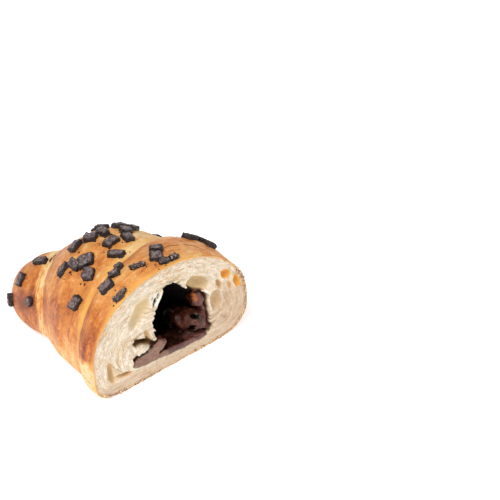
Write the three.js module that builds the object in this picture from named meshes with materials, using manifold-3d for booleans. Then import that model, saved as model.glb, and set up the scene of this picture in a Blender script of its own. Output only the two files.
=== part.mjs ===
// A cut piece of a praline-filled croissant: the end of one croissant, cut straight across.
// It lies on its flat base, +Z up. The cut faces -Y and the tip points to +Y and swings to -X.
// The origin is on the base, 30 mm behind the cut. All sizes are in millimetres.
import * as THREE from "three";
import { mergeVertices } from "three/addons/utils/BufferGeometryUtils.js";
import Module from "manifold-3d";

const wasm = await Module();
wasm.setup();

const WELD = 1e-4; // points closer than this are one

// Driving sizes of the whole piece
const CUT_WIDTH = 74;
const CUT_HEIGHT = 45.5;
const TIP_WIDTH = 28;
const TIP_HEIGHT = 25;
const AXIS_LENGTH = 69; // from the cut to the end of the tip
const BEND = 23.5; // how far the tip swings sideways
const CUT_Y = -30; // where the cut lies

// The taper, as shares of the axis
const NARROWS = { start: 0.08, end: 0.98 };
const LOWERS = { start: 0.13, end: 0.98 };
const CAP = { start: 0.8, power: 2.0 }; // the rounded end of the tip

// Each roll stands proud in its middle
const CROWNS = [
  { at: 0.13, reach: 0.11, width: 0.6, height: 1.4 },
  { at: 0.57, reach: 0.17, width: 3.4, height: 6.2 },
];

// The section across the axis: a dome on a squarer base
const WAIST = 0.35; // height of the widest level, as a share of the height
const DOME_POWER = { cut: 2.0, tip: 2.15 };
const LEFT_CORNER = { cut: 5.6, tip: 3.2 };
const RIGHT_CORNER = { cut: 3.5, tip: 3.0 };
const LEAN = -0.06; // the cut's dome leans to -X
const BLEND_END = 0.6; // where the cut's section has become the tip's
const SINK = 1.03; // the base is pressed a little flat on the tray

// Each rolled layer ends in a lip, which the next one comes out from under
const SEAMS = [
  { top: 0.262, drop: 0.105, lip: 2.2, valley: 7, phase: 5.24 },
  { top: 0.75, drop: 0.09, lip: 1.8, valley: 4, phase: 3.63 },
];
const LOW_TURN = 212; // degrees round, at the base's left corner, where a seam lies nearest to the cut
const LOW_SPREAD = 3; // the larger, the shorter the stretch that sinks there
const LIP_FALL = 0.45; // share of the lip by which its own edge rounds down
const LIP_ROUND = 1.1; // how far back the lip starts to round down
const SEAM_WAVES = [
  { times: 3, size: 0.006 },
  { times: 7, size: 0.004 },
];
const PRESSED = { from: 0.55, to: 0.95, share: 0.75 }; // the tray presses the relief flat underneath

// The mesh of the outside
const AROUND = 60;
const RINGS = [7, 15, 12]; // one count for each rolled layer, cut to tip
const STEP_UP = 0.004; // share of the axis that the step at a seam takes up
const CROWDING = 0.1; // rings lie closer together near the seams

// The cut: rings of crumb layers, each second one set back
const FACE_RINGS = 9;
const FACE_MIDDLE_X = 2;
const FACE_CROWDING = 1.45; // layers lie closer together towards the crust
const FACE_REACH = 0.92; // the innermost ring, as a share of the way to the middle
const FACE_RELIEF = { depth: 1.2, uneven: 0.3, times: 5 };

// Ellipsoids inside: x and z on the cut, radii across, up and inward, a tilt in degrees on the cut,
// and how far back the middle lies where it isn't on the cut
const HOLLOW = [
  { x: 0.5, z: 22.5, across: 8.3, up: 14, inward: 36, tilt: 0 },
  { x: 9.5, z: 18, across: 8, up: 14.5, inward: 30, tilt: 28 },
  { x: 2.5, z: 9, across: 18, up: 4, inward: 50, tilt: -5 },
  { x: -10.5, z: 9, across: 8, up: 2.8, inward: 14, tilt: 3 },
];
const FILLING = [
  { x: 2.5, z: 5.4, across: 18.5, up: 2.3, inward: 49, tilt: -5 },
  { x: -10.5, z: 10.2, across: 8.2, up: 3.4, inward: 9, tilt: 20 },
  { x: 17.3, z: 9.8, across: 5.4, up: 5, inward: 5, tilt: 24, back: 4.2 },
  { x: 14, z: 10.5, across: 4.8, up: 4.2, inward: 6, tilt: 15, back: 9.5 },
  { x: 14, z: 9, across: 5, up: 4, inward: 7, tilt: 0, back: 15 },
  { x: 17.2, z: 18.4, across: 2.2, up: 7, inward: 5.5, tilt: 24, back: 4 },
];
const BUBBLES = [
  { x: -14.4, z: 30.6, across: 7, up: 3.8, inward: 4.5, tilt: 42 },
  { x: -12.6, z: 15.9, across: 6, up: 2, inward: 4, tilt: -34 },
  { x: -28.7, z: 11.6, across: 5, up: 1.2, inward: 2.6, tilt: -79 },
  { x: -22.8, z: 7.6, across: 3.6, up: 0.9, inward: 2.2, tilt: -20 },
  { x: -25.8, z: 20.6, across: 3.8, up: 1.6, inward: 1.6, tilt: 62 },
  { x: 13.6, z: 30.2, across: 6.4, up: 3.4, inward: 7, tilt: -32 },
  { x: 22.2, z: 18.8, across: 3, up: 5.2, inward: 3.6, tilt: 14 },
  { x: 23.7, z: 25.7, across: 3, up: 1.2, inward: 2.2, tilt: -62 },
  { x: 27, z: 28.7, across: 2.6, up: 1.7, inward: 2.6, tilt: -46 },
  { x: 32.6, z: 22.9, across: 3.4, up: 1.2, inward: 2.4, tilt: -70 },
];
const INWARD_TURN = 9; // degrees that the hollow turns to follow the bend
const FIT_GAP = 0.35; // between the filling and the dough
const FILLING_RECESS = 0.6; // the filling's face lies this far behind the cut
const HOLLOW_SEGMENTS = 22;
const BUBBLE_SEGMENTS = 12;
const RINGS_A_SEGMENT = 0.6; // an ellipsoid's rings for each segment round it

// Chips: small chamfered blocks of chocolate
const CHIP = { thick: 2.0, chamfer: 0.5, sunk: 0.75, corner: 0.2 }; // the corner is a share of the width
const CHIP_SKEW = [-0.25, 0.25];

// Where the chips lie: along the axis (a share of it), round the section (degrees from +X over the top),
// turn on the crust (degrees from the axis), length and width
const CHIPS = [
  // The ridge
  [0.6, 99, 90, 6, 4.2], [0.547, 90, 10, 5.6, 5.2], [0.515, 81, 150, 6.4, 3.6],
  [0.56, 72, 175, 5.5, 3.8], [0.5, 63, 70, 5.2, 3.8], [0.452, 57, 90, 5, 3.6],
  [0.44, 69, 40, 4.6, 4.2], [0.385, 78, 150, 5.4, 4], [0.425, 89, 90, 7.2, 3.6],
  [0.335, 97, 30, 6, 3],
  // A cluster beside it
  [0.585, 124, 70, 5.8, 2.8], [0.52, 118, 165, 6, 3.4], [0.465, 112, 57, 6.2, 5],
  [0.395, 120, 118, 5.4, 4.6], [0.383, 143, 82, 5.6, 3.8],
  // The band at the cut
  [0.205, 108, 84, 3.4, 2.8], [0.19, 114, 54, 4.2, 3], [0.168, 123, 78, 5.8, 4],
  [0.107, 102, 75, 5.6, 1.9], [0.14, 85, 55, 5, 3], [0.09, 90, 60, 4.6, 4.4],
  [0.036, 89, 80, 4, 2], [0.036, 82, 100, 3.6, 2.2], [0.042, 122, 90, 6, 1.9],
  [0.177, 50, 88, 6, 3.8], [0.165, 38, 60, 5.2, 3.8], [0.12, 40, 150, 6, 4.2],
  // The tip
  [0.825, 98, 176, 6.4, 3.2], [0.905, 126, 75, 5.4, 2.8], [0.97, 172, 100, 4.8, 2.4],
  [0.818, 157, 60, 3.4, 2.8],
  // The far side
  [0.63, 50, 20, 5.4, 3.6], [0.58, 34, 120, 5, 4], [0.51, 22, 75, 6, 3.4],
  [0.41, 28, 160, 5.2, 3.6], [0.21, 15, 40, 5.6, 3.8], [0.86, 28, 100, 4.8, 3.2],
  [0.79, 12, 30, 4.6, 3],
];

const clamp = THREE.MathUtils.clamp;
const lerp = THREE.MathUtils.lerp;
const radians = THREE.MathUtils.degToRad;
const smooth = THREE.MathUtils.smoothstep;

// A repeatable number from 0 to 1 for each whole number
function scatter(index) {
  const mixed = Math.sin((index + 1) * 12.9898) * 43758.5453;
  return mixed - Math.floor(mixed);
}

// The share of the axis at which a seam lies: it sinks towards the cut at the base's left corner
function seamAt(seam, turn) {
  const low = Math.exp(LOW_SPREAD * (Math.cos(turn - radians(LOW_TURN)) - 1));
  const onTop = clamp(2 * Math.sin(turn) + 0.5, 0, 1);
  let share = seam.top - seam.drop * low;
  for (const { times, size } of SEAM_WAVES) {
    share += onTop * size * Math.sin(times * turn + seam.phase);
  }
  return share;
}

// How far a layer's surface stands off the plain taper
function relief(layer, share, turn) {
  let height = 0;
  SEAMS.forEach((seam, index) => {
    const past = (share - seamAt(seam, turn)) * AXIS_LENGTH;
    if (layer > index) height -= seam.lip * Math.exp(-Math.max(past, 0) / seam.valley);
    else height -= LIP_FALL * seam.lip * Math.exp(Math.min(past, 0) / LIP_ROUND);
  });
  return height * (1 - PRESSED.share * smooth(-Math.sin(turn), PRESSED.from, PRESSED.to));
}

// A superellipse's coordinate for one of its two axes
const curved = (value, power) => Math.sign(value) * Math.abs(value) ** (2 / power);

// A point of the outside: layer 0 is at the cut, turn runs from +X over the top
function bodyPoint(layer, share, turn) {
  let half = lerp(CUT_WIDTH, TIP_WIDTH, smooth(share, NARROWS.start, NARROWS.end)) / 2;
  let height = lerp(CUT_HEIGHT, TIP_HEIGHT, smooth(share, LOWERS.start, LOWERS.end));
  for (const crown of CROWNS) {
    const bulge = Math.exp(-(((share - crown.at) / crown.reach) ** 2));
    half += crown.width * bulge;
    height += crown.height * bulge;
  }
  const waist = WAIST * height;
  const end = clamp((share - CAP.start) / (1 - CAP.start), 0, 1);
  const cap = Math.sqrt(Math.max(0, 1 - end ** CAP.power));

  const blend = clamp(1 - share / BLEND_END, 0, 1);
  const mix = ({ cut, tip }) => lerp(tip, cut, blend);
  const leftward = (1 - Math.cos(turn)) / 2;
  const overhead = Math.sin(turn) >= 0;
  const power = overhead ? mix(DOME_POWER) : lerp(mix(RIGHT_CORNER), mix(LEFT_CORNER), leftward);
  let x = half * curved(Math.cos(turn), power);
  let z = (overhead ? height - waist : waist * SINK) * curved(Math.sin(turn), power);
  const grown = 1 + relief(layer, share, turn) / Math.hypot(x, z);
  x = (x * grown + LEAN * blend * z) * cap;
  z = Math.max(0, waist + z * grown * cap);

  const slope = (-2 * BEND * share) / AXIS_LENGTH;
  const length = Math.hypot(slope, 1);
  return new THREE.Vector3(
    -BEND * share * share + x / length,
    CUT_Y + AXIS_LENGTH * share - (x * slope) / length,
    z,
  );
}

// Where the rings of the outside lie: each layer runs from its own seam to the next
function outsideRings() {
  const tip = RINGS.length - 1;
  return RINGS.flatMap((count, layer) =>
    Array.from({ length: count }, (_, i) => (turn) => {
      const from = layer === 0 ? 0 : seamAt(SEAMS[layer - 1], turn) + STEP_UP;
      const to = layer === tip ? 1 : seamAt(SEAMS[layer], turn);
      const even = i / (layer === tip ? count : count - 1);
      const rounded = Math.sin((even * Math.PI) / 2);
      const crowded = even - CROWDING * Math.sin(2 * Math.PI * even);
      return bodyPoint(layer, lerp(from, to, layer === tip ? rounded : crowded), turn);
    }),
  );
}

// The cut: rings that shrink to its middle, each second one set back like the layers of the crumb
function faceRings(middle) {
  const rings = [];
  for (let i = FACE_RINGS - 1; i > 0; i--) {
    rings.push((turn) => {
      const inward = (i / FACE_RINGS) ** FACE_CROWDING * FACE_REACH;
      const point = bodyPoint(0, 0, turn).lerp(middle, inward);
      const shallower = FACE_RELIEF.uneven * (1 - Math.sin(FACE_RELIEF.times * turn + i));
      point.y += i % 2 ? FACE_RELIEF.depth * (1 - shallower) : 0;
      return point;
    });
  }
  return rings;
}

// A closed surface from rings of points, with one point at each end
function lidded(rings, first, last) {
  const points = [first];
  for (const ring of rings) {
    for (let j = 0; j < AROUND; j++) points.push(ring((2 * Math.PI * j) / AROUND));
  }
  points.push(last);
  const triangles = [];
  const at = (ring, j) => 1 + ring * AROUND + (j % AROUND);
  for (let j = 0; j < AROUND; j++) {
    triangles.push(0, at(0, j), at(0, j + 1));
    for (let ring = 0; ring + 1 < rings.length; ring++) {
      triangles.push(at(ring, j), at(ring + 1, j), at(ring, j + 1));
      triangles.push(at(ring, j + 1), at(ring + 1, j), at(ring + 1, j + 1));
    }
    triangles.push(points.length - 1, at(rings.length - 1, j + 1), at(rings.length - 1, j));
  }
  return solid(points.flatMap((p) => [p.x, p.y, p.z]), triangles);
}

function solid(positions, triangles) {
  const mesh = new wasm.Mesh({
    numProp: 3,
    vertProperties: new Float32Array(positions),
    triVerts: new Uint32Array(triangles),
  });
  return new wasm.Manifold(mesh);
}

// A three.js geometry as a solid
function solidOf(geometry) {
  geometry.deleteAttribute("normal");
  geometry.deleteAttribute("uv");
  const merged = mergeVertices(geometry, WELD);
  return solid(merged.attributes.position.array, merged.index.array);
}

const joined = (solids) => solids.reduce((sum, next) => sum.add(next));

// An ellipsoid centred on the cut or behind it, whose long run inward follows the bend
function lobe(spec, shrink, segments) {
  const geometry = new THREE.SphereGeometry(1, segments, Math.round(segments * RINGS_A_SEGMENT));
  geometry.scale(spec.across - shrink, spec.inward - shrink, spec.up - shrink);
  geometry.rotateY(radians(-spec.tilt));
  geometry.translate(0, spec.back ?? 0, 0);
  geometry.rotateZ(radians(INWARD_TURN));
  geometry.translate(spec.x, CUT_Y, spec.z);
  return solidOf(geometry);
}

const lobes = (specs, shrink, segments) => joined(specs.map((spec) => lobe(spec, shrink, segments)));

// A point of the outside, with the directions along the axis, sideways and out of the surface there
function surfaceFrame(share, turn) {
  const step = 0.01;
  const layer = SEAMS.filter((seam) => share > seamAt(seam, turn)).length;
  const at = (nextShare, nextTurn) => bodyPoint(layer, nextShare, nextTurn);
  const along = at(share + step, turn).sub(at(share - step, turn)).normalize();
  const round = at(share, turn + step).sub(at(share, turn - step));
  const out = new THREE.Vector3().crossVectors(along, round).normalize();
  const side = new THREE.Vector3().crossVectors(out, along);
  return new THREE.Matrix4().makeBasis(along, side, out).setPosition(at(share, turn));
}

// The outline of a chip: a skewed rectangle with its corners cut off
function chipOutline(length, width, skew) {
  const x = length / 2 - CHIP.chamfer;
  const y = width / 2 - CHIP.chamfer;
  const cut = CHIP.corner * width;
  const corners = [
    [x - cut, -y], [x, cut - y], [x, y - cut], [x - cut, y],
    [cut - x, y], [-x, y - cut], [-x, cut - y], [cut - x, -y],
  ];
  return new THREE.Shape(corners.map(([a, b]) => new THREE.Vector2(a + skew * b, b)));
}

// One chip, sunk a little into the crust
function chip([share, round, turn, length, width], index) {
  const skew = lerp(...CHIP_SKEW, scatter(index));
  const geometry = new THREE.ExtrudeGeometry(chipOutline(length, width, skew), {
    depth: CHIP.thick,
    bevelEnabled: true,
    bevelSegments: 1,
    bevelSize: CHIP.chamfer,
    bevelThickness: CHIP.chamfer,
  });
  geometry.translate(0, 0, -CHIP.sunk - CHIP.chamfer);
  geometry.rotateZ(radians(turn));
  geometry.applyMatrix4(surfaceFrame(share, radians(round)));
  return solidOf(geometry);
}

// The dough: the rolled body, hollow inside, with bubbles at the cut and chips on the crust
function doughSolid() {
  const middle = new THREE.Vector3(FACE_MIDDLE_X, CUT_Y, WAIST * CUT_HEIGHT);
  const tip = bodyPoint(RINGS.length - 1, 1, 0);
  return lidded([...faceRings(middle), ...outsideRings()], middle, tip)
    .subtract(lobes(HOLLOW, 0, HOLLOW_SEGMENTS))
    .subtract(lobes(BUBBLES, 0, BUBBLE_SEGMENTS))
    .add(joined(CHIPS.map(chip)));
}

// The filling lies in the hollow with a hair of room round it, and stops just behind the cut
function fillingSolid() {
  const room = new THREE.BoxGeometry(CUT_WIDTH, AXIS_LENGTH, CUT_HEIGHT);
  room.translate(0, CUT_Y + FILLING_RECESS + AXIS_LENGTH / 2, CUT_HEIGHT / 2);
  return lobes(FILLING, 0, HOLLOW_SEGMENTS)
    .intersect(lobes(HOLLOW, FIT_GAP, HOLLOW_SEGMENTS))
    .intersect(solidOf(room));
}

// The largest body of a solid as a three.js mesh
function meshOf(name, made, material) {
  const [largest] = made.decompose().sort((a, b) => b.volume() - a.volume());
  const { vertProperties, triVerts } = largest.getMesh();
  const geometry = new THREE.BufferGeometry();
  geometry.setAttribute("position", new THREE.BufferAttribute(vertProperties, 3));
  geometry.setIndex(new THREE.BufferAttribute(triVerts, 1));
  geometry.computeVertexNormals();
  const mesh = new THREE.Mesh(geometry, material);
  mesh.name = name;
  return mesh;
}

const crust = new THREE.MeshStandardMaterial({ color: 0xc98643, roughness: 0.6, metalness: 0 });
const chocolate = new THREE.MeshStandardMaterial({ color: 0x4a2a20, roughness: 0.25, metalness: 0 });

const croissant = new THREE.Group();
croissant.add(meshOf("dough", doughSolid(), crust));
croissant.add(meshOf("praline", fillingSolid(), chocolate));

export default croissant;
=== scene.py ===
"""A cut piece of a praline-filled croissant: rolled crust with chocolate chips, airy crumb and praline.

Lengths are in millimetres until a mesh is made. The cut faces -Y, the tip points to +Y and -X, +Z is up.
"""
import itertools
import math
from types import SimpleNamespace

import bpy
import numpy as np
import openvdb
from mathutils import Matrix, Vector


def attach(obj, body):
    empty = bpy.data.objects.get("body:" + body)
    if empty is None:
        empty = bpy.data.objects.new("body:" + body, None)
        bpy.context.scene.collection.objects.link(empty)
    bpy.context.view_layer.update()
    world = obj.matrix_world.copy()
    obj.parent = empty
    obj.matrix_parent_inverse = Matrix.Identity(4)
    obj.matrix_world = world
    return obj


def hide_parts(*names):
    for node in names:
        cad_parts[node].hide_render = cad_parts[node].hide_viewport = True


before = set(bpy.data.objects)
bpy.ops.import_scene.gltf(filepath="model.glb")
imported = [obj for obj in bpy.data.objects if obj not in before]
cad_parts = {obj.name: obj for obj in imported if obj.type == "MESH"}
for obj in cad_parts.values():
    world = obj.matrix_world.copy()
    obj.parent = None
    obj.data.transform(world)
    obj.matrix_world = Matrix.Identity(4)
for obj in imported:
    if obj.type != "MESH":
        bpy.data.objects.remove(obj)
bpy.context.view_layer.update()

MM = 0.001

# Driving sizes of the whole piece, the same as in the solids
CUT_WIDTH = 74
CUT_HEIGHT = 45.5
TIP_WIDTH = 28
TIP_HEIGHT = 25
AXIS_LENGTH = 69
BEND = 23.5
CUT_Y = -30
# The taper, as shares of the axis
NARROWS = (0.08, 0.98)
LOWERS = (0.13, 0.98)
CAP_START = 0.8
# Each roll stands proud in its middle
CROWNS = [
    {"at": 0.13, "reach": 0.11, "width": 0.6, "height": 1.4},
    {"at": 0.57, "reach": 0.17, "width": 3.4, "height": 6.2},
]
# The section is a dome on a squarer base. Its powers are given for the tip and for the cut.
WAIST = 0.35
DOME_POWER = (2.15, 2.0)
LEFT_CORNER = (3.2, 5.6)
RIGHT_CORNER = (3.0, 3.5)
LEAN = -0.06
BLEND_END = 0.6
SINK = 1.03

# Rolled layers: each ends in a lip, which the next one comes out from under
SEAMS = [
    {"top": 0.262, "drop": 0.105, "lip": 2.2, "valley": 7, "phase": 5.24},
    {"top": 0.75, "drop": 0.09, "lip": 1.8, "valley": 4, "phase": 3.63},
]
# A seam lies nearest to the cut here, at the base's left corner
LOW_TURN = math.radians(212)
LOW_SPREAD = 3
LIP_FALL = 0.45
LIP_ROUND = 1.1
SEAM_WAVES = [(3, 0.006), (7, 0.004)]
# The tray presses the relief flat underneath
PRESSED = (0.55, 0.95, 0.75)

# Ellipsoids inside: x and z on the cut, radii across, up and inward, tilt in degrees, distance behind the cut
HOLLOW = [
    (0.5, 22.5, 8.3, 14, 36, 0, 0),
    (9.5, 18, 8, 14.5, 30, 28, 0),
    (2.5, 9, 18, 4, 50, -5, 0),
    (-10.5, 9, 8, 2.8, 14, 3, 0),
]
# A dent in the hollow's right wall, where the patch of praline lies. The solids have no dent.
DENT = (15.0, 21.8, 3.5, 4.2, 8, 20, 0)
LAYERS_OF_FILLING = [
    (2.5, 5.4, 18.5, 2.3, 49, -5, 0),
    (-10.5, 10.2, 8.2, 3.4, 9, 20, 0),
]
# The last one is the patch on the hollow's right wall
HEAP = [
    (17.3, 9.8, 5.4, 5, 5, 24, 4.2),
    (14, 10.5, 4.8, 4.2, 6, 15, 9.5),
    (14, 9, 5, 4, 7, 0, 15),
    (17.9, 18.6, 2.2, 6.8, 5.5, 24, 4),
]
PALE_BUBBLES = [
    (-14.4, 30.6, 7, 3.8, 3.8, 42, 0),
    (-23.3, 26.8, 2.4, 1.1, 0.9, 66, 0),
    (-25.8, 20.6, 3.8, 1.6, 1.2, 62, 0),
    (-17.4, 37.6, 3.2, 0.8, 1.1, 14, 0),
    (13.6, 30.2, 6.4, 3.4, 7, -32, 0),
    (22.2, 18.8, 3, 5.2, 3.6, 14, 0),
    (19.9, 28.3, 1.4, 0.8, 1.3, -30, 0),
]
TAN_BUBBLES = [
    (-28.3, 10.6, 5.4, 1.5, 3.0, -82, 0),
    (-23.2, 7.0, 4.2, 1.0, 2.6, -8, 0),
    (-29.9, 8.7, 2, 0.5, 1.4, -65, 0),
    (-11.2, 19.6, 2.9, 1.1, 2.4, -64, 0),
    (23.7, 25.7, 3, 1.2, 2.2, -62, 0),
    (29.2, 22.3, 2.5, 0.9, 1.6, -60, 0),
]
AMBER_BUBBLES = [
    (27, 28.7, 2.6, 1.7, 2.6, -46, 0),
    (32.6, 22.9, 3.4, 1.2, 2.4, -70, 0),
]
# A pocket at the lower left, and the lobes of crumb in and beside it. Deep in the pocket the crumb gets
# painted olive-brown shade.
FOLD = (-12.9, 15.9, 6.2, 2.6, 4.4, -34, 0)
LOBES = [
    (-12.4, 13.4, 6.2, 2.5, 2.8, -24, 3.1),
    (-19.8, 15.4, 1.6, 4, 1.8, 14, 2.2),
]
# Torn strands beside the hollow's mouth, and gaps there and over the smear of praline, which are painted
# black as shade
STRANDS = [
    (-6.4, 30.6, 0.35, 2.4, 0.7, -22, 0.9),
    (-5.7, 31.9, 0.3, 2.2, 0.6, -34, 0.8),
    (-4.9, 32.8, 0.35, 2.0, 0.6, -48, 0.9),
    (-4.2, 34.3, 0.3, 1.8, 0.6, -40, 1.0),
    (-6.9, 28.4, 0.4, 1.8, 0.6, -12, 1.2),
]
DARK_GAPS = [
    (-7.9, 31.0, 1.2, 0.42, 1.8, 70, 0),
    (-6.7, 32.8, 1.5, 0.42, 1.8, 58, 0),
    (-5.2, 34.3, 1.5, 0.4, 1.6, 66, 0),
    (-7.9, 34.0, 1.0, 0.36, 1.4, 74, 0),
    (-3.4, 36.2, 0.9, 0.36, 1.2, 40, 0),
    (-14.3, 11.9, 1.2, 0.5, 0.9, 8, 0),
    (-11.9, 12.2, 0.9, 0.5, 0.9, -24, 0),
    (-9.2, 12.0, 0.8, 0.45, 0.9, 30, 0),
]
# All of them turn towards -X as they run back, as the body bends
INWARD_TURN = math.radians(9)


def smooth(value, low, high):
    t = np.clip((value - low) / (high - low), 0, 1)
    return t * t * (3 - 2 * t)


def lerp(a, b, t):
    return a + (b - a) * t


def unit(vectors):
    return vectors / (np.linalg.norm(vectors, axis=-1, keepdims=True) + 1e-9)


# Noise

HASH_AXES = (73856093, 19349663, 83492791)
HASH_SEED = (2654435, 97)
HASH_ROUNDS = ((13, 1540483477), (15, 2246822519))
HASH_LAST = 13
TEN_BITS = 1023
NOISE_GAIN = 1.6


def mixed(cells, seed):
    """A repeatable whole number for each cell of a grid."""
    factor, offset = HASH_SEED
    h = np.uint32(seed * factor + offset)
    for axis, factor in enumerate(HASH_AXES):
        h = h ^ cells[..., axis] * np.uint32(factor)
    for shift, factor in HASH_ROUNDS:
        h = (h ^ (h >> np.uint32(shift))) * np.uint32(factor)
    return h ^ (h >> np.uint32(HASH_LAST))


def noise(points, size, seed=0):
    """Smooth noise from about -1 to 1 at points, whose bumps are about size across."""
    scaled = np.asarray(points, np.float32) / np.float32(size)
    floor = np.floor(scaled)
    part = scaled - floor
    cells = floor.astype(np.int32).astype(np.uint32)
    ease = part ** 3 * (part * (part * 6 - 15) + 10)
    total = np.zeros(scaled.shape[:-1], np.float32)
    for corner in itertools.product((0, 1), repeat=3):
        h = mixed(cells + np.array(corner, np.uint32), seed)
        weight = np.ones_like(total)
        slope = np.zeros_like(total)
        for axis, step in enumerate(corner):
            weight *= ease[..., axis] if step else 1 - ease[..., axis]
            lean = ((h >> np.uint32(10 * axis)) & np.uint32(TEN_BITS)).astype(np.float32) / (TEN_BITS / 2) - 1
            slope += lean * (part[..., axis] - step)
        total += weight * slope
    return total * NOISE_GAIN


def fractal(points, size, octaves=3, seed=0):
    total = 0
    for i in range(octaves):
        total = total + noise(points, size / 2 ** i, seed + i) / 2 ** i
    return total


def jolts(points, size, octaves, seed):
    """Noise that moves points in three directions."""
    return np.stack([fractal(points, size, octaves, seed + k) for k in range(3)], -1)


# The rolled body

def seam_at(seam, turn):
    low = np.exp(LOW_SPREAD * (np.cos(turn - LOW_TURN) - 1))
    on_top = np.clip(2 * np.sin(turn) + 0.5, 0, 1)
    share = seam["top"] - seam["drop"] * low
    for times, size in SEAM_WAVES:
        share = share + on_top * size * np.sin(times * turn + seam["phase"])
    return share


def relief(layer, share, turn):
    height = 0
    for index, seam in enumerate(SEAMS):
        past = (share - seam_at(seam, turn)) * AXIS_LENGTH
        if layer > index:
            height = height - seam["lip"] * np.exp(-np.maximum(past, 0) / seam["valley"])
        else:
            height = height - LIP_FALL * seam["lip"] * np.exp(np.minimum(past, 0) / LIP_ROUND)
    low, high, pressed = PRESSED
    return height * (1 - pressed * smooth(-np.sin(turn), low, high))


def section(share):
    """Half the width, the height, and how much of the cut's section is left, at a share of the axis."""
    half = lerp(CUT_WIDTH, TIP_WIDTH, smooth(share, *NARROWS)) / 2
    height = lerp(CUT_HEIGHT, TIP_HEIGHT, smooth(share, *LOWERS))
    for crown in CROWNS:
        bulge = np.exp(-(((share - crown["at"]) / crown["reach"]) ** 2))
        half = half + crown["width"] * bulge
        height = height + crown["height"] * bulge
    return half, height, np.clip(1 - share / BLEND_END, 0, 1)


def section_power(blend, cosine, overhead):
    corner = lerp(lerp(*RIGHT_CORNER, blend), lerp(*LEFT_CORNER, blend), (1 - cosine) / 2)
    return np.where(overhead, lerp(*DOME_POWER, blend), corner)


def body(layer, share, turn, inset=0):
    """Points of the outside, or of a surface that lies inset within it."""
    share, turn = np.broadcast_arrays(np.asarray(share, float), np.asarray(turn, float))
    half, height, blend = section(share)
    waist = WAIST * height
    end = np.clip((share - CAP_START) / (1 - CAP_START), 0, 1)
    cap = np.sqrt(np.maximum(0, 1 - end ** 2))
    cosine, sine = np.cos(turn), np.sin(turn)
    overhead = sine >= 0
    power = section_power(blend, cosine, overhead)
    x = half * np.sign(cosine) * np.abs(cosine) ** (2 / power)
    z = np.where(overhead, height - waist, waist * SINK) * np.sign(sine) * np.abs(sine) ** (2 / power)
    grown = 1 + (relief(layer, share, turn) - inset) / np.hypot(x, z)
    x = (x * grown + LEAN * blend * z) * cap
    z = np.maximum(inset, waist + z * grown * cap)
    slope = -2 * BEND * share / AXIS_LENGTH
    length = np.hypot(slope, 1)
    ahead = CUT_Y + AXIS_LENGTH * share - x * slope / length
    return np.stack([-BEND * share ** 2 + x / length, ahead, z], -1)


def depth_below(points):
    """About how far points of the first layer lie below the outside."""
    x, y, z = points[..., 0], points[..., 1], points[..., 2]
    share = np.clip((y - CUT_Y) / AXIS_LENGTH, -0.05, 0.9)
    for _ in range(3):
        slope = -2 * BEND * share / AXIS_LENGTH
        ahead = (x + BEND * share ** 2) * slope + (y - CUT_Y - AXIS_LENGTH * share)
        share = share + ahead / AXIS_LENGTH / (1 + slope ** 2)
    length = np.hypot(slope, 1)
    aside = ((x + BEND * share ** 2) - (y - CUT_Y - AXIS_LENGTH * share) * slope) / length
    half, height, blend = section(np.clip(share, 0, 1))
    waist = WAIST * height
    up = z - waist
    aside = aside - LEAN * blend * up
    overhead = up >= 0
    tall = np.where(overhead, height - waist, waist * SINK)
    cosine = aside / np.hypot(aside, up * half / tall + 1e-6)
    power = section_power(blend, cosine, overhead)
    across, upward = np.abs(aside / half), np.abs(up / tall)
    reach = (across ** power + upward ** power) ** (1 / power) + 1e-6
    slope_x = (across / reach) ** (power - 1) / half
    slope_z = (upward / reach) ** (power - 1) / tall
    return np.minimum((1 - reach) / np.hypot(slope_x, slope_z), z)


# Meshes from arrays

def linked(name, data):
    """A new object in the scene."""
    made = bpy.data.objects.new(name, data)
    bpy.context.scene.collection.objects.link(made)
    return made


def mesh_piece(name, points, faces, values=None):
    """A smooth-shaded object from points in millimetres, with named numbers or vectors at each point."""
    mesh = bpy.data.meshes.new(name)
    mesh.from_pydata((np.asarray(points) * MM).tolist(), [], faces)
    for key, value in (values or {}).items():
        value = np.asarray(value, np.float32)
        kind, field = ("FLOAT_VECTOR", "vector") if value.ndim == 2 else ("FLOAT", "value")
        mesh.attributes.new(key, kind, "POINT").data.foreach_set(field, value.ravel())
    mesh.polygons.foreach_set("use_smooth", [True] * len(mesh.polygons))
    mesh.validate()
    return linked(name, mesh)


def grid_normals(rows):
    """The outward direction at each point of rings that run from the cut to the tip."""
    along = np.gradient(rows, axis=0)
    around = np.roll(rows, -1, axis=1) - np.roll(rows, 1, axis=1)
    return unit(np.cross(along, around))


def ring_faces(rows, columns):
    """Quads between rings, and fans to a first and a last point."""
    j = np.arange(columns)
    k = (j + 1) % columns
    first, last = 0, rows * columns + 1
    faces = [(first, 1 + a, 1 + b) for a, b in zip(j, k)]
    for row in range(rows - 1):
        low, high = 1 + row * columns, 1 + (row + 1) * columns
        faces += np.stack([low + j, high + j, high + k, low + k], -1).tolist()
    end = 1 + (rows - 1) * columns
    faces += [(last, end + b, end + a) for a, b in zip(j, k)]
    return faces


# Crust

# Points round it, rings along each layer and along the inner side
AROUND = 480
LAYER_ROWS = [46, 92, 44]
INNER_ROWS = 14
# How far a layer starts under the lip before it, as a share of the axis
TUCK = 0.008
# Just short of the tip, as a share of the axis
TIP_SHARE = 0.9995
# How uneven the lips are, as a share of the axis
LIP_UNEVEN = 0.005
# The radius of the circle on which the rolled dough is laid out, for its patterns
ROLL_RADIUS = 24
RIM_THICKNESS = 0.4
CRUST_THICKNESS = 0.9
# Where the inner side ends, and where it passes from layer to layer, as shares of the axis
INNER_END = 0.93
INNER_SEAMS = (0.16, 0.66)
# The distance from a seam that a layer doesn't have
FAR = 99
# Ledges beside a seam: how far apart they are, how much that wavers, and how far from the seam they reach
LEDGES = {"gap": 1.15, "waver": 1.2, "reach": 3.2}
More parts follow.
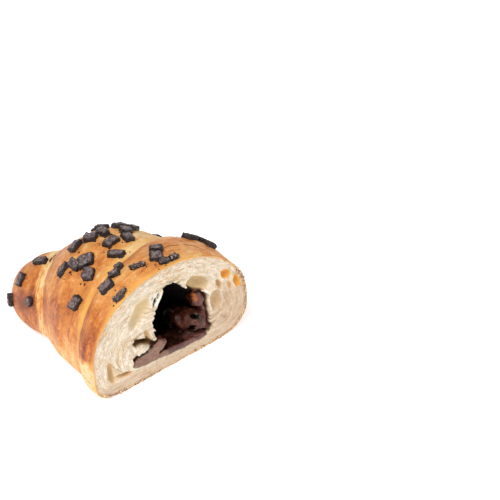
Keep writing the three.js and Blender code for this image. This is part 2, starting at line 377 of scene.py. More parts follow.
# Lines of (share of the axis, degrees round), with half a width and a depth. The cracks are also painted
# dark, as painted shade.
CRACKS = [
    ([(0.775, 99), (0.77, 84)], 0.42, 0.26),
    ([(0.2, 180), (0.13, 182.5), (0.06, 184.5)], 0.32, 0.16),
    ([(0.13, 83), (0.128, 77), (0.11, 71)], 0.45, 0.13),
    ([(0.108, 66), (0.085, 61), (0.05, 56)], 0.45, 0.13),
    ([(0.095, 80), (0.075, 73)], 0.4, 0.12),
]
# A crumbly patch on the far side of the second layer: share of the axis, degrees round, size along and around
ROUGH_PATCH = (0.36, 62, 5, 5)
# Brown patches: share of the axis, degrees round, size along and around, strength
STAINS = [
    (0.545, 174, 2.2, 5, 0.9),
    (0.80, 172, 1.4, 6, 0.7),
    (0.755, 179, 1.2, 5, 0.6),
    (0.12, 78, 2.5, 7, 0.6),
    (0.06, 72, 1.5, 8, 0.5),
    (0.46, 148, 1.8, 8, 0.35),
    (0.9, 150, 3, 6, 0.5),
]
# Brown lips of the first two layers: strength and reach
LIP_BROWN = ((0.55, 2.6), (0.85, 4.2))
# Browning round the body: strength, layers, and the degrees at which it rises and falls
BROWNING = [
    (0.14, (0, 1, 2), 130, 155, 185),
    (-0.22, (1,), 165, 185, 230),
    (-0.15, (0,), 55, 80, 140),
    (0.05, (1, 2), 140, 160, 210),
]
# What else makes the crust browner or paler, and by how much. The far side is painted paler, as painted
# light.
TOAST = {
    "plain": 0.55, "mottled": 0.14, "broad": 0.12, "first layer": 0.06, "blisters": 0.25, "tip": 0.12,
    "low on first layer": 0.1, "flap": -0.66, "base": 0.05, "pale band": -0.32, "valley": -0.12,
    "crest": -0.1, "ledges": -0.1, "crumbly": -0.3, "painted light on far side": -0.16,
}
BLISTERS = {
    "count": 110, "seed": 4, "along": (0.03, 0.8), "around": (-0.2, math.pi + 0.2),
    "radius": (0.7, 2.2), "height": (0.08, 0.34),
}


def layer_at(share, turn):
    return sum((share > seam_at(seam, turn)).astype(int) for seam in SEAMS)


def on_crust(share, degrees):
    """The point of the outside at a share of the axis and degrees round."""
    turn = np.asarray(math.radians(degrees))
    return body(layer_at(np.asarray(share), turn), share, turn)


def blistering(points):
    """How far blisters, scattered over the first two layers, raise the surface at points."""
    draw = np.random.default_rng(BLISTERS["seed"])
    count = BLISTERS["count"]
    share = draw.uniform(*BLISTERS["along"], count)
    turn = draw.uniform(*BLISTERS["around"], count)
    on_first = share <= seam_at(SEAMS[0], turn)
    centres = np.where(on_first[:, None], body(0, share, turn), body(1, share, turn))
    radii = draw.uniform(*BLISTERS["radius"], count)
    total = np.zeros(points.shape[:-1])
    for centre, radius, rise in zip(centres, radii, draw.uniform(*BLISTERS["height"], count)):
        away = np.sum((points - centre) ** 2, -1) / radius ** 2
        total = total + rise * np.exp(-away * 1.5)
    return total


def arc(degrees, start, full, last, fade=20):
    """1 over a stretch round the body: rises from start to full, and fades out before last."""
    return smooth(degrees, start, full) * smooth(last - degrees, 0, fade)


def lip_jitter(turn, seed):
    """Small unevenness of a lip, as a share of the axis."""
    ring = np.stack([9 * np.cos(turn), 9 * np.sin(turn), 0 * turn], -1)
    return LIP_UNEVEN * fractal(ring, 1.6, 3, seed)


def crust_rings():
    """Rings of the outside, each with its layer, share of the axis and turn."""
    turn = np.linspace(0, 2 * math.pi, AROUND, endpoint=False)
    last = len(LAYER_ROWS) - 1
    rings = []
    for layer, count in enumerate(LAYER_ROWS):
        start = 0 * turn if layer == 0 else seam_at(SEAMS[layer - 1], turn) - TUCK
        end = np.full(AROUND, TIP_SHARE)
        if layer < last:
            end = seam_at(SEAMS[layer], turn) + lip_jitter(turn, 60 + layer)
        for i in range(count):
            even = i / (count - 1)
            if layer == last:
                even = math.sin(even * math.pi / 2)
            share = lerp(start, end, even)
            rings.append((body(layer, share, turn), np.full(AROUND, layer), share, turn))
        if layer < last:
            under = body(layer, end, turn, 0.5 * SEAMS[layer]["lip"])
            rings.append((under, np.full(AROUND, layer), end, turn))
    return [np.stack(column) for column in zip(*rings)]


def rolled_place(share, turn):
    """Coordinates that follow the rolled dough: along the axis, and round it on a circle."""
    return np.stack([share * AXIS_LENGTH, ROLL_RADIUS * np.cos(turn), ROLL_RADIUS * np.sin(turn)], -1)


def lamination(past, rolled):
    """Ledges that run beside a seam where the dough was stretched: 0 to 1, strongest at the seam."""
    wavy = past + LEDGES["waver"] * noise(rolled / np.array([7, 16, 16]), 1, 31)
    saw = wavy / LEDGES["gap"] - np.floor(wavy / LEDGES["gap"])
    return (1 - saw) ** 1.5 * np.exp(-np.maximum(past, 0) / LEDGES["reach"]) * (past > -1)


def crack_depth(points):
    """How far cracks sink the surface at points."""
    sunk = np.zeros(points.shape[:-1])
    for path, width, depth in CRACKS:
        places = [on_crust(*place) for place in path]
        for a, b in zip(places, places[1:]):
            span = b - a
            t = np.clip((points - a) @ span / (span @ span), 0, 1)
            away = np.linalg.norm(points - a - t[..., None] * span, axis=-1)
            sunk = np.maximum(sunk, depth * np.exp(-((away / width) ** 2)))
    return sunk


def from_patch(at, along, around, length, width):
    """How far places are from the middle of a patch, where 1 is its size along and around."""
    ahead = (at.share - along) * AXIS_LENGTH / length
    aside = np.radians(at.degrees - around) * ROLL_RADIUS / width
    return np.hypot(ahead, aside)


def crust_places():
    """The outside's points, with what is known of each: layer, place, and distance from the seams."""
    points, layer, share, turn = crust_rings()
    layers = [layer == i for i in range(len(LAYER_ROWS))]
    since = [(share - seam_at(seam, turn)) * AXIS_LENGTH for seam in SEAMS]
    return SimpleNamespace(
        points=points, layers=layers, share=share, turn=turn, degrees=np.degrees(turn),
        rolled=rolled_place(share, turn), from_cut=share * AXIS_LENGTH,
        past=np.select(layers[1:], since, FAR), until=np.select(layers[:-1], [-s for s in since], FAR),
    )


def shape_crust(at):
    """Raises blisters, ledges and unevenness, sinks cracks, and roughens the lower edge of the cut."""
    normals = grid_normals(at.points)
    at.ledges = lamination(at.past, at.rolled)
    at.cracks = crack_depth(at.points)
    at.blister = blistering(at.points)
    height = at.points[..., 2].copy()
    at.on_base = smooth(3 - height, 0, 3) * smooth(-normals[..., 2], 0.3, 0.8)
    swell = 0.3 * fractal(at.points, 8, 2, 1) + 0.05 * noise(at.points, 0.9, 3)
    streaks = 0.05 * fractal(at.rolled / np.array([1.1, 9, 9]), 1, 3, 5)
    lift = swell + streaks + 0.25 * at.ledges + at.blister
    lift = lift * (1 - at.on_base) * smooth(at.from_cut, -0.5, 1.5) - at.cracks
    points = at.points + normals * lift[..., None]
    at.points = points
    from_right = 180 - np.abs(180 - at.degrees)
    low = np.maximum(smooth(4 - height, 0, 4), smooth(45 - from_right, 0, 25))
    at.torn = smooth(1.6 - at.from_cut, 0, 1.2) * low
    beyond = from_patch(at, *ROUGH_PATCH) - 0.5 * fractal(points, 1.6, 3, 25)
    at.rough = smooth(1.2 - beyond, 0, 0.6) * at.layers[1]
    points[..., 2] += 0.5 * at.torn * smooth(fractal(points, 1.4, 3, 21), -0.2, 0.9)
    points[..., 2] += 0.25 * at.rough * fractal(points, 0.9, 2, 26)
    points[..., 2] = np.maximum(points[..., 2], 0)
    points[..., 1] = np.maximum(points[..., 1], CUT_Y)


def crust_colours(at):
    """How toasted, golden and rosy the crust is, with painted light on its far side, and where it has fine
    lines, crumbs and the painted shade of cracks.
    """
    points, degrees = at.points, at.degrees
    first, second, third = at.layers
    pale_band = smooth(5.2 - at.past, 0, 1.6) * third
    valley = smooth(6.5 - at.past, 0, 4) * second * smooth(205 - degrees, 0, 60)
    flap = first * smooth(degrees + 4 * noise(points, 3, 27), 171, 181) * smooth(240 - degrees, 0, 20)
    crest = second * smooth(30 - np.abs(degrees - 85), 0, 25)

    fields = {
        "plain": 1,
        "mottled": fractal(points, 8, 3, 11),
        "broad": fractal(at.rolled / np.array([3.5, 13, 13]), 1, 2, 7),
        "first layer": first,
        "blisters": at.blister * noise(points, 3, 17),
        "tip": third * (at.past > 4),
        "low on first layer": first * smooth(degrees, 150, 165) * (1 - flap),
        "flap": flap,
        "base": at.on_base,
        "pale band": pale_band,
        "valley": valley,
        "crest": crest * (1 + 3 * valley),
        "ledges": at.ledges,
        "crumbly": at.rough,
        # Painted light: the far side is made paler
        "painted light on far side": smooth(np.cos(at.turn - math.radians(20)), 0.3, 0.95),
    }
    toast = sum(TOAST[key] * field for key, field in fields.items())
    for strength, layers, *stretch in BROWNING:
        toast = toast + strength * sum(at.layers[i] for i in layers) * arc(degrees, *stretch)

    edge_width = 1.6 + 1.8 * arc(degrees, 90, 115, 145, 15)
    edge = np.exp(-((at.from_cut / edge_width) ** 2)) * smooth(degrees, 50, 80) * (1 - 0.8 * at.on_base)
    gold = 0.95 * edge * (1 - 0.6 * smooth(degrees, 150, 170))
    gold = gold + 0.75 * valley + 0.3 * noise(points, 6, 23) * ~third + 0.3 * flap

    rose = 0.15 * noise(points, 7, 29) + 0.12 * first
    for *patch, strength in STAINS:
        rose = rose + strength * np.exp(-(from_patch(at, *patch) ** 2))
    for on_layer, (strength, reach) in zip(at.layers, LIP_BROWN):
        by_lip = on_layer * np.exp(-((at.until / reach) ** 2))
        rose = rose + strength * by_lip * arc(degrees, 40, 100, 180, 8)

    low_side = arc(degrees, 165, 185, 230)
    lines = np.maximum(valley, np.maximum(pale_band, 0.3 * low_side))
    # The cracks' mask carries their painted shade
    return {"toast": toast, "gold": gold, "rose": rose, "lines": lines, "torn": at.torn + 0.25 * at.rough,
            "crack_shade": at.cracks}


def crust_lining(edge):
    """Rings of the inner side, from the tip to the cut, and the rim that joins them to the outside's edge."""
    turn = np.linspace(0, 2 * math.pi, AROUND, endpoint=False)
    rings = []
    for i in range(INNER_ROWS):
        share = INNER_END * math.sin(math.pi / 2 * (1 - i / (INNER_ROWS - 1)))
        layer = sum(share >= seam for seam in INNER_SEAMS)
        inset = RIM_THICKNESS if i == INNER_ROWS - 1 else CRUST_THICKNESS + (0 if i else 1)
        rings.append(body(layer, share, turn, inset))
    rings[-1][:, 1] += 0.4
    rim = (rings[-1] + edge) / 2
    rim[:, 1] += 0.1 * noise(rim, 1.5, 19) - 0.15
    return np.stack([*rings, rim])


def make_crust():
    at = crust_places()
    shape_crust(at)
    lining = crust_lining(at.points[0])
    rings = np.concatenate([lining, at.points])
    flat = np.concatenate([[lining[0].mean(0)], rings.reshape(-1, 3), [body(2, 1.0, 0.0)]])
    plain = np.zeros(lining.shape[:2])
    values = {}
    for key, outside in crust_colours(at).items():
        plain[-1] = outside[0]
        values[key] = np.concatenate([[0], np.concatenate([plain, outside]).ravel(), [outside[-1].mean()]])
    rolled = np.concatenate([np.broadcast_to(at.rolled[0], lining.shape), at.rolled]).reshape(-1, 3)
    values["rolled"] = np.concatenate([rolled[:1], rolled, rolled[-1:]])
    return mesh_piece("crust", flat, ring_faces(len(rings), AROUND), values)


# Signed distances on a grid, for what is inside

# The grid is fine for a depth behind the cut, then its levels grow apart, up to a number of steps
FINE_DEPTH = 3
LEVEL_GROWTH = 1.07
WIDEST_STEPS = 3
# Distances farther than this from a surface aren't kept
BAND = 3.0


class Field:
    """Distances on a grid, negative inside a shape. The grid is finer near the cut."""

    def __init__(self, across, deep_shade, upward, step):
        levels, gap = [CUT_Y - 3 * step], step
        while levels[-1] < CUT_Y + deep_shade:
            gap *= 1.0 if levels[-1] < CUT_Y + FINE_DEPTH else LEVEL_GROWTH
            levels.append(levels[-1] + min(gap, WIDEST_STEPS * step))
        self.axes = [np.arange(*across, step), np.array(levels), np.arange(*upward, step)]
        self.axes = [axis.astype(np.float32) for axis in self.axes]
        self.points = np.stack(np.meshgrid(*self.axes, indexing="ij"), -1)
        self.values = None

    def add(self, specs, ragged, seed, carve=False):
        """Adds ragged ellipsoids to the shape, or takes them out of it."""
        for i, spec in enumerate(specs):
            x, z, *radii, _, back = spec
            reach = max(radii) + 1
            around = zip(self.axes, (x, CUT_Y + back, z))
            where = tuple(slice(*np.searchsorted(axis, (at - reach, at + reach))) for axis, at in around)
            local = self.points[where]
            away = ellipsoid(local, spec) + ragged * noise(local, 2.2, seed + i)
            here = self.values[where]
            self.values[where] = np.maximum(here, -away) if carve else np.minimum(here, away)

    def rounded(self):
        """Softens the edges of the shape by a little less than a cell."""
        for axis in range(3):
            near = np.moveaxis(self.values, axis, 0)
            near[1:-1] = 0.25 * near[:-2] + 0.5 * near[1:-1] + 0.25 * near[2:]

    def surface(self, adaptivity):
        """Points and faces of the surface of the shape."""
        grid = openvdb.FloatGrid()
        grid.background = BAND
        grid.copyFromArray(np.clip(self.values, -BAND, BAND).astype(np.float32))
        points, triangles, quads = grid.convertToPolygons(isovalue=0.0, adaptivity=adaptivity)
        placed = [np.interp(points[:, i], np.arange(len(axis)), axis) for i, axis in enumerate(self.axes)]
        faces = [face[::-1] for face in triangles.tolist() + quads.tolist()]
        return np.stack(placed, -1).astype(np.float32), faces


def ellipsoid(points, spec):
    """About how far points are from an ellipsoid of the lists above."""
    x, z, across, up, inward, tilt, back = spec
    moved = points - np.array([x, CUT_Y, z], np.float32)
    c, s = math.cos(INWARD_TURN), math.sin(INWARD_TURN)
    aside = c * moved[..., 0] + s * moved[..., 1]
    ahead = -s * moved[..., 0] + c * moved[..., 1] - back
    c, s = math.cos(math.radians(tilt)), math.sin(math.radians(tilt))
    local = np.stack([c * aside + s * moved[..., 2], ahead, -s * aside + c * moved[..., 2]], -1)
    radii = np.array([across, inward, up], np.float32)
    near = np.linalg.norm(local / radii, axis=-1)
    return near * (near - 1) / (np.linalg.norm(local / radii ** 2, axis=-1) + 1e-6)


def nearest(points, specs):
    """About how far points are from the nearest of some ellipsoids."""
    return np.min([ellipsoid(points, spec) for spec in specs], axis=0)


def blended(distances, width):
    """A union whose joins are filleted."""
    total = distances[0]
    for other in distances[1:]:
        h = np.clip(0.5 + 0.5 * (total - other) / width, 0, 1)
        total = lerp(total, other, h) - width * h * (1 - h)
    return total


def hollow_distance(points):
    return blended([ellipsoid(points, spec) for spec in [*HOLLOW, DENT]], 1.5)


def roughened(distance, points, reach, height):
    """Adds a height, worked out only for points within reach of the surface."""
    near = np.abs(distance) < reach
    distance = distance.copy()
    distance[near] += height(points[near])
    return distance


# Crumb

CRUMB_STEP = 0.26
# How deep the crumb is solid, and how far the hollow's lining runs back
CRUMB_DEPTH = 10
CRUMB_REACH = 53
LINING_THICKNESS = 1.6
# How far under the outside the crumb starts at the cut, and how much farther behind it
UNDER_OUTSIDE = (0.3, 0.35)
# How far the crumb lies behind the cut at least, and the height of its fibres
LEAST_RECESS = 0.22
FIBRE_HEIGHT = 0.18
# The roll at the lower left: its middle as x and z, how far its rings reach, and the radius for its grain
SCROLL = (-12.5, 14.5)
SCROLL_REACH = 17
SCROLL_RADIUS = 8
# The height about which the grain of the outer layers turns
GRAIN_MIDDLE = 16
# Cells of torn crumb: size, how much they are flattened, and how deep the deepest lie
RIM_CELLS = {"size": 1.9, "stretch": 4.4, "recess": 0.85, "seed": 3}
INNER_CELLS = {"size": 5.0, "stretch": 2.6, "recess": 1.9, "seed": 9}
PORES = 90
# The whitish shreds at the upper left of the mouth: x, z and reach
FRINGE = (-6.4, 33.4, 3.4)
# Smoother places on the cut: x, z and size across and up
CALM = [(21.5, 20, 6, 9), (-17, 25, 7, 4)]


def rolled_inside(x, depth):
    """How much the layers at a place belong to the roll at the lower left: 0 to 1."""
    return smooth(depth, 6, 10) * smooth(-x, 1, 7)


def layer_coordinate(x, z, depth):
    """Rises from layer to layer: depth under the crust, then rings round the roll at the lower left."""
    rings = SCROLL_REACH - np.hypot(x - SCROLL[0], z - SCROLL[1])
    return lerp(depth, rings, rolled_inside(x, depth))


def rim_grain(x, z, depth):
    """Coordinates that follow the outer layers: depth, then round the cut on a circle."""
    around = np.arctan2(z - GRAIN_MIDDLE, x)
    return np.stack([depth, ROLL_RADIUS * np.cos(around), ROLL_RADIUS * np.sin(around)], -1)


def roll_grain(x, z):
    """Coordinates that follow the roll at the lower left: rings, then round them on a circle."""
    aside, up = x - SCROLL[0], z - SCROLL[1]
    turn = np.arctan2(up, aside)
    return np.stack([np.hypot(aside, up), SCROLL_RADIUS * np.cos(turn), SCROLL_RADIUS * np.sin(turn)], -1)


def cells(places, across, size, stretch, seed):
    """Flattened cells: how far places are from the walls between them, and a number for each cell."""
    base = np.floor(places / size).astype(int)
    first = np.full(places.shape[:-1], 1e9)
    second, owner = first.copy(), 0 * first
    for step in itertools.product(range(-2, 3), repeat=2):
        cell = base + step
        key = np.concatenate([cell, 0 * cell[..., :1]], -1).astype(np.int32).astype(np.uint32)
        h = mixed(key, seed)
        parts = [((h >> np.uint32(shift)) & np.uint32(TEN_BITS)) / TEN_BITS for shift in (0, 10, 20)]
        away = (cell + np.stack(parts[:2], -1)) * size - places
        squashed = (away * across).sum(-1) * stretch
        along = away[..., 0] * across[..., 1] - away[..., 1] * across[..., 0]
        far = np.hypot(squashed, along)
        nearer = far < first
        second = np.where(nearer, first, np.minimum(second, far))
        owner = np.where(nearer, parts[2], owner)
        first = np.where(nearer, far, first)
    return (second - first) / size, owner


def rim_pores():
    """Flat bubbles in the outer layers, as ellipsoids that lie along them."""
    draw = np.random.default_rng(21)
    pores = []
    for _ in range(PORES):
        turn = math.radians(draw.uniform(-25, 200))
        depth = draw.uniform(1.6, 8)
        here, ahead = (body(0, 0, turn + step, depth) for step in (0, 0.02))
        tilt = math.degrees(math.atan2(ahead[2] - here[2], ahead[0] - here[0]))
        length = draw.uniform(0.5, 1.6)
        height = length * draw.uniform(0.22, 0.4)
        pores.append((here[0], here[2], length, height, draw.uniform(0.6, 1.2), tilt, 0))
    return pores


def cut_recess(x, z, step):
    """How far the torn crumb lies behind the cut, over a grid of x and z."""
    places = np.stack([x, z], -1)
    depth = depth_below(np.stack([x, np.full_like(x, CUT_Y), z], -1))
    layers = layer_coordinate(x, z, depth)
    across = unit(np.stack(np.gradient(layers, step), -1))
    recesses = []
    for kind in (RIM_CELLS, INNER_CELLS):
        wall, owner = cells(places, across, kind["size"], kind["stretch"], kind["seed"])
        recesses.append(kind["recess"] * (0.15 + 0.85 * owner ** 1.2) * smooth(wall, 0, 0.32))
    inner = smooth(depth + 1.5 * noise(np.stack([x, 0 * x, z], -1), 6, 45), 5, 10)
    rim_fibres = fractal(rim_grain(x, z, depth) / np.array([0.7, 2, 2]), 1, 3, 47)
    roll_fibres = fractal(roll_grain(x, z) / np.array([0.8, 2, 2]), 1, 3, 48)
    fibres = FIBRE_HEIGHT * lerp(rim_fibres, roll_fibres, rolled_inside(x, depth))
    rough = smooth(z, 2, 7)
    for middle_x, middle_z, across_x, across_z in CALM:
        rough = rough * smooth(np.hypot((x - middle_x) / across_x, (z - middle_z) / across_z), 0.6, 1.1)
    return LEAST_RECESS + fibres + lerp(*recesses, inner) * lerp(0.2, 1, rough)


def crumb_shape(pores):
    """The crumb behind the cut and the lining of the hollow."""
    field = Field((-38.5, 38.5), CRUMB_REACH, (-0.5, 47), CRUMB_STEP)
    points = field.points
    back = points[..., 1] - CUT_Y

    def tears(near):
        beside_cut = smooth(CUT_Y + 3 - near[:, 1], 0, 2)
        return 0.4 * fractal(near, 2.8, 3, 41) + 0.3 * noise(near, 0.9, 44) * beside_cut

    ragged = roughened(hollow_distance(points), points, 2, tears)
    recess = cut_recess(*np.meshgrid(field.axes[0], field.axes[2], indexing="ij"), CRUMB_STEP)
    at_cut, farther = UNDER_OUTSIDE
    shell = at_cut + farther * smooth(back, 0, 3) - depth_below(points)
    block = np.maximum(shell, np.minimum(back - CRUMB_DEPTH, ragged - LINING_THICKNESS))
    field.values = np.max([block, recess[:, None, :] - back, -ragged], axis=0)
    field.add([*PALE_BUBBLES, *TAN_BUBBLES, *AMBER_BUBBLES, FOLD], ragged=0.25, seed=53, carve=True)
    field.add(LOBES + STRANDS, ragged=0.4, seed=75)
    field.add(pores + DARK_GAPS, ragged=0.1, seed=80, carve=True)
    field.rounded()
    return field


def make_crumb():
    pores = rim_pores()
    surface, faces = crumb_shape(pores).surface(adaptivity=0.05)
    x, z = surface[:, 0], surface[:, 2]
    below = depth_below(surface)
    back = surface[:, 1] - CUT_Y
    inside = hollow_distance(surface)

    def beside(specs, margin):
        return smooth(margin - nearest(surface, specs), 0, 0.35)

    fringe_x, fringe_z, reach = FRINGE
    fringed = smooth(reach - np.hypot(x - fringe_x, z - fringe_z), 0, 1.2)
    lip = smooth(1.6 - inside, 0, 1.2) * smooth(1.0 - back, 0, 0.6) * smooth(x, 4, 9) * smooth(z, 16, 22)
    # Painted shade: near-black in the gaps, and on the hollow's wall behind the edge, over its coat of
    # praline
    gaps = beside(DARK_GAPS, 0.3) * smooth(back, 0.5, 1.0)
    behind_edge = smooth(back + 0.5 * noise(surface, 2.5, 61), 0.9, 2.6)
    coated_and_shaded = smooth(1.2 - inside, 0, 0.8) * behind_edge * smooth(x, -17, -13)
    golden = [beside(AMBER_BUBBLES, 0.5), 0.34 * beside(TAN_BUBBLES, 0.45), 0.45 * beside(pores, 0.2)]
    # Painted shade: olive-brown deep in the fold, and a little in the tan bubbles
    shaded = np.maximum(beside([FOLD], 0.8), 0.3 * beside(TAN_BUBBLES, 0.3))
    values = {
        "depth": below + 1.2 * smooth(5 - z, 0, 3),
        # How far behind the cut, for painted shade: deeper crumb is painted a darker yellow-tan
        "pit_shade_depth": back,
        "coating_and_shade": np.maximum(coated_and_shaded, gaps),
        "brown": smooth(x, 8, 12) * smooth(5 - back, 0, 2),
        "amber": np.max(golden, axis=0),
        "fold_shade": shaded * smooth(back, 0.7, 2.0),
        "membrane": np.maximum(lip, 0.8 * fringed),
        # Painted shade: darker towards the right and along the bottom
        "shade_right_and_low": np.maximum(smooth(x, 14, 26) * smooth(30 - z, 0, 14), smooth(7 - z, 0, 3)),
        "in_roll": rolled_inside(x, below),
        "rim_grain": rim_grain(x, z, below),
        "roll_grain": roll_grain(x, z),
    }
    return mesh_piece("crumb", surface, faces, values)


# Praline

PRALINE_STEP = 0.28
PRALINE_REACH = 50
# Clear of the hollow's wall
CLEARANCE = 0.15
FLOOR_UNEVEN = 0.2
HEAP_UNEVEN = 1.5
# How much the top of the filling drops to the right
TOP_SLOPE = 0.09
# The smear of pale praline: its right edge, as x at a height and a lean, and its top, as x, z and a slope
SMEAR_RIGHT = (-1.8, 8.5, 0.4)
SMEAR_TOP = (-10.5, 10.2, 0.36)
# More ellipsoids: a cut under the heap, two pits in the heap, which are painted near-black as shade, and a
# strip on the patch painted as an amber glow of light
NOTCH = (15.3, 7.3, 6, 0.7, 5, -18, 0)
PITS = [
    (14.6, 13.4, 1.4, 0.7, 2.4, -10, 3.6),
    (12.6, 9.4, 1.6, 0.7, 2.4, 30, 4.2),
]
GLOW = (15.2, 21.0, 0.45, 3.2, 1.4, 16, 4.4)


def filling_level(points):
    """Height over the slope of the filling's top."""
    return points[..., 2] + TOP_SLOPE * points[..., 0]


def filling_lumps(points):
    """The floor, the heap and the patch of praline, before their front is shaped."""
    lumps = []
    for i, spec in enumerate(LAYERS_OF_FILLING + HEAP):
        uneven = HEAP_UNEVEN if spec in HEAP else FLOOR_UNEVEN
        lump = ellipsoid(points, spec)
        lumps.append(roughened(lump, points, 3, lambda near: uneven * noise(near, 3.4, 70 + i)))
    lumps.append(ellipsoid(points, GLOW))
    shape = np.maximum(blended(lumps, 0.7), hollow_distance(points) + CLEARANCE)
    shape = np.maximum(shape, -ellipsoid(points, NOTCH) - 0.3 * noise(points, 2.5, 77))
    shape = np.maximum(shape, -nearest(points, PITS) - 0.3 * noise(points, 1.2, 78))
    folds = np.array([1, 1, 1.6], np.float32)
    return roughened(shape, points, 1.5, lambda near: 0.45 * fractal(near * folds, 2.2, 3, 71))


def filling_shape():
    """The lumps, cut off unevenly a little behind the cut: the heap farther back and rounded."""
    field = Field((-22, 22), PRALINE_REACH, (1.5, 30), PRALINE_STEP)
    points = field.points
    front = points[:, :1]
    heap = smooth(filling_level(points), 8.3, 10.8) * smooth(points[..., 0], 2, 6)
    scratches = noise(front[..., [0, 2, 1]] / np.array([0.4, 4.0, np.inf]), 1, 75)
    recess = 0.4 + 0.15 * noise(front, 3, 73) + 0.08 * scratches
    recess = recess + heap[:, :1] * (0.9 + 0.8 * noise(front, 4, 74))
    behind_face = points[..., 1] - CUT_Y - recess
    field.values = -blended([-filling_lumps(points), behind_face], lerp(0.4, 3.0, heap))
    return field


def make_praline():
    surface, faces = filling_shape().surface(adaptivity=0.04)
    x, z = surface[:, 0], surface[:, 2]
    back = surface[:, 1] - CUT_Y
    level = filling_level(surface)
    edge_x, edge_z, lean = SMEAR_RIGHT
    at_left = smooth(edge_x - x - lean * (z - edge_z) + 0.8 * noise(surface, 3, 79), 0, 1.6)
    # Painted shade: the heap's pits are made near-black
    heap_pit_shade = smooth(0.6 - nearest(surface, PITS), 0, 0.6)
    back_of_hollow = smooth(back + 1.2 * noise(surface, 4, 81) - 0.6 * (z - 7.5), 3, 12)
    low = smooth(8.6 - level, 0, 1.2)
    ledge = smooth(x, 6, 9) * smooth(6 - back, 0, 2) * low
    # Painted shadow on the floor's top behind its front
    floor_shade = 0.8 * smooth(back, 0.5, 1.5) * smooth(9.5 - level, 0, 2) * (1 - ledge)
    front = smooth(1.0 - back, 0, 0.4) * low * lerp(0.4, 1, smooth(x, 3, 7))
    top_x, top_z, slope = SMEAR_TOP
    over_smear = z - top_z - slope * (x - top_x) + 1.2 * noise(surface, 1.2, 85)
    # Painted shade over the smear, where the mouth is dark
    shade_over_smear = smooth(over_smear, 1.9, 2.8) * smooth(4.5 - np.abs(x + 12.5), 0, 1.5)
    coated = 0.9 * smooth(z, 15, 17) * smooth(7 - back, 0, 2)
    values = {
        "milk": smooth(1.5 - back, 0, 0.7) * at_left,
        # Painted shade: near-black deep in the hollow, in the pits, on the floor's top and over the smear
        "deep_shade": np.max([back_of_hollow * (1 - coated), heap_pit_shade, floor_shade, shade_over_smear], axis=0),
        # A painted amber glow of light
        "glow": smooth(0.55 - ellipsoid(surface, GLOW), 0, 0.5),
        "cutting": np.max([front, ledge, coated], axis=0),
    }
    return mesh_piece("praline_filling", surface, faces, values)


# Chips

CHIP = {"thick": 2.0, "chamfer": 0.5, "sunk": 0.75}
CHIP_SKEW = (-0.25, 0.25)
# The higher this power, the sharper a chip's edges
CHIP_POWER = 9
CHIP_STEPS = 14
# How far a chip's faces are pushed along, across and up. Narrow chips are the crumbly ones.
CHIP_ROUGH = np.array([0.45, 0.45, 0.24])
CHIP_FINE = 0.26
NARROW = 2.3
NARROW_ROUGH = 1.6

# Along the axis, degrees round from +X over the top, degrees of turn on the crust, length and width
CHIPS = [
    # The ridge
    (0.6, 99, 90, 6, 4.2), (0.547, 90, 10, 5.6, 5.2), (0.515, 81, 150, 6.4, 3.6),
    (0.56, 72, 175, 5.5, 3.8), (0.5, 63, 70, 5.2, 3.8), (0.452, 57, 90, 5, 3.6),
    (0.44, 69, 40, 4.6, 4.2), (0.385, 78, 150, 5.4, 4), (0.425, 89, 90, 7.2, 3.6),
    (0.335, 97, 30, 6, 3),
    # A cluster beside it
    (0.585, 124, 70, 5.8, 2.8), (0.52, 118, 165, 6, 3.4), (0.465, 112, 57, 6.2, 5),
    (0.395, 120, 118, 5.4, 4.6), (0.383, 143, 82, 5.6, 3.8),
    # The band at the cut
    (0.205, 108, 84, 3.4, 2.8), (0.19, 114, 54, 4.2, 3), (0.168, 123, 78, 5.8, 4),
    (0.107, 102, 75, 5.6, 1.9), (0.14, 85, 55, 5, 3), (0.09, 90, 60, 4.6, 4.4),
    (0.036, 89, 80, 4, 2), (0.036, 82, 100, 3.6, 2.2), (0.042, 122, 90, 6, 1.9),
    (0.177, 50, 88, 6, 3.8), (0.165, 38, 60, 5.2, 3.8), (0.12, 40, 150, 6, 4.2),
    # The tip
    (0.825, 98, 176, 6.4, 3.2), (0.905, 126, 75, 5.4, 2.8), (0.97, 172, 100, 4.8, 2.4),
    (0.818, 157, 60, 3.4, 2.8),
    # The far side
    (0.63, 50, 20, 5.4, 3.6), (0.58, 34, 120, 5, 4), (0.51, 22, 75, 6, 3.4),
    (0.41, 28, 160, 5.2, 3.6), (0.21, 15, 40, 5.6, 3.8), (0.86, 28, 100, 4.8, 3.2),
    (0.79, 12, 30, 4.6, 3),
]
# Crumbs of chocolate lie beside the first chips of the list, down to the band at the cut
SPECKS = 70
SPECKLED = 27
SPECK_SIZE = (0.12, 0.36)
EDGE_CRUMBS = 240
EDGE_CRUMB_SIZE = (0.12, 0.46)
EDGE_TURN = (-145, 25)


def scatter(index):
    """A repeatable number from 0 to 1 for each whole number, the same as in the solids."""
    value = math.sin((index + 1) * 12.9898) * 43758.5453
    return value - math.floor(value)


def surface_frame(share, turn):
    """A point of the outside and the directions along the axis, sideways and out there."""
    step = 0.01
    layer = layer_at(np.asarray(share), turn)
    point = body(layer, share, turn)
    along = body(layer, share + step, turn) - body(layer, share - step, turn)
    around = body(layer, share, turn + step) - body(layer, share, turn - step)
    along, out = unit(along), unit(np.cross(along, around))
    return point, np.stack([along, np.cross(out, along), out])


